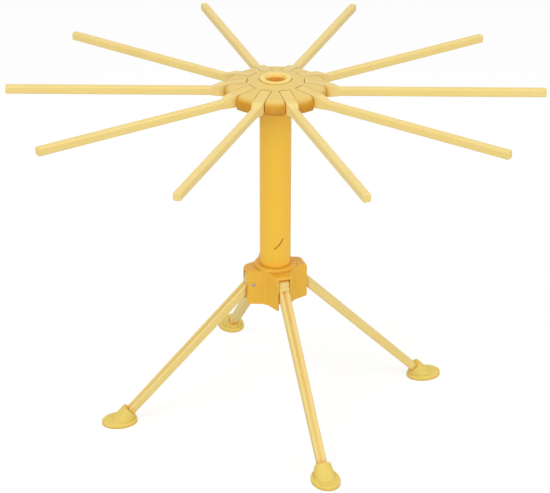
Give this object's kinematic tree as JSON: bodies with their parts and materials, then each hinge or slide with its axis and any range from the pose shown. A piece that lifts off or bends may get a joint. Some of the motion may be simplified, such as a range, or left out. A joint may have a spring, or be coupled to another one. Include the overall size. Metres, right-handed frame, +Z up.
{
  "type": "pasta drying rack",
  "caption": "Folding tabletop stand: a slim column on splayed folding legs carries a turning head of radial fold-up rods, over which fresh pasta strips hang to dry.",
  "frame": {"origin": "on the floor under the column's axis, at the middle of the bottom of the whole rack", "axes": "+Z up along the column, +X along the first arm; the arms follow every 36 degrees, and the first leg points 18 degrees from +X"},
  "size_m": [0.42, 0.401, 0.287],
  "materials": {
    "body_plastic": "semi-matt moulded ABS, pale butter yellow",
    "foot_plastic": "semi-matt moulded plastic, the same yellow",
    "steel": "plain bright steel",
    "washer_plastic": "smooth white acetal"
  },
  "bodies": {
    "root": {"column_tube": "body_plastic", "column_cap": "body_plastic", "column_plug": "body_plastic", "column_screw": "steel", "bearing_washer": "washer_plastic", "retaining_clip": "steel", "leg_hub": "body_plastic", "leg_pins": "steel"},
    "head": {"head_disc": "body_plastic", "head_base_plate": "body_plastic", "head_screws": "steel", "arm_pins": "steel"},
    "arm_01": {"arm_01": "body_plastic"},
    "arm_02": {"arm_02": "body_plastic"},
    "arm_03": {"arm_03": "body_plastic"},
    "arm_04": {"arm_04": "body_plastic"},
    "arm_05": {"arm_05": "body_plastic"},
    "arm_06": {"arm_06": "body_plastic"},
    "arm_07": {"arm_07": "body_plastic"},
    "arm_08": {"arm_08": "body_plastic"},
    "arm_09": {"arm_09": "body_plastic"},
    "arm_10": {"arm_10": "body_plastic"},
    "leg_1": {"leg_1": "body_plastic", "foot_1": "foot_plastic"},
    "leg_2": {"leg_2": "body_plastic", "foot_2": "foot_plastic"},
    "leg_3": {"leg_3": "body_plastic", "foot_3": "foot_plastic"},
    "leg_4": {"leg_4": "body_plastic", "foot_4": "foot_plastic"}
  },
  "joints": [
    {"name": "head_turn", "type": "hinge", "parent": "root", "child": "head", "pos_m": [0, 0, 0.2719], "axis": [0, 0, 1], "continuous": true},
    {"name": "arm_01_fold", "type": "hinge", "parent": "head", "child": "arm_01", "pos_m": [0.028, 0, 0.28119], "axis": [0, -1, 0], "range_deg": [0, 90]},
    {"name": "arm_02_fold", "type": "hinge", "parent": "head", "child": "arm_02", "pos_m": [0.02265, 0.01646, 0.28119], "axis": [0.5878, -0.809, 0], "range_deg": [0, 90]},
    {"name": "arm_03_fold", "type": "hinge", "parent": "head", "child": "arm_03", "pos_m": [0.00865, 0.02663, 0.28119], "axis": [0.9511, -0.309, 0], "range_deg": [0, 90]},
    {"name": "arm_04_fold", "type": "hinge", "parent": "head", "child": "arm_04", "pos_m": [-0.00865, 0.02663, 0.28119], "axis": [0.9511, 0.309, 0], "range_deg": [0, 90]},
    {"name": "arm_05_fold", "type": "hinge", "parent": "head", "child": "arm_05", "pos_m": [-0.02265, 0.01646, 0.28119], "axis": [0.5878, 0.809, 0], "range_deg": [0, 90]},
    {"name": "arm_06_fold", "type": "hinge", "parent": "head", "child": "arm_06", "pos_m": [-0.028, 0, 0.28119], "axis": [0, 1, 0], "range_deg": [0, 90]},
    {"name": "arm_07_fold", "type": "hinge", "parent": "head", "child": "arm_07", "pos_m": [-0.02265, -0.01646, 0.28119], "axis": [-0.5878, 0.809, 0], "range_deg": [0, 90]},
    {"name": "arm_08_fold", "type": "hinge", "parent": "head", "child": "arm_08", "pos_m": [-0.00865, -0.02663, 0.28119], "axis": [-0.9511, 0.309, 0], "range_deg": [0, 90]},
    {"name": "arm_09_fold", "type": "hinge", "parent": "head", "child": "arm_09", "pos_m": [0.00865, -0.02663, 0.28119], "axis": [-0.9511, -0.309, 0], "range_deg": [0, 90]},
    {"name": "arm_10_fold", "type": "hinge", "parent": "head", "child": "arm_10", "pos_m": [0.02265, -0.01646, 0.28119], "axis": [-0.5878, -0.809, 0], "range_deg": [0, 90]},
    {"name": "leg_1_fold", "type": "hinge", "parent": "root", "child": "leg_1", "pos_m": [0.0195, 0.00634, 0.113], "axis": [-0.309, 0.9511, 0], "range_deg": [0, 45]},
    {"name": "leg_2_fold", "type": "hinge", "parent": "root", "child": "leg_2", "pos_m": [-0.00634, 0.0195, 0.113], "axis": [-0.9511, -0.309, 0], "range_deg": [0, 45]},
    {"name": "leg_3_fold", "type": "hinge", "parent": "root", "child": "leg_3", "pos_m": [-0.0195, -0.00634, 0.113], "axis": [0.309, -0.9511, 0], "range_deg": [0, 45]},
    {"name": "leg_4_fold", "type": "hinge", "parent": "root", "child": "leg_4", "pos_m": [0.00634, -0.0195, 0.113], "axis": [0.9511, 0.309, 0], "range_deg": [0, 45]}
  ]
}
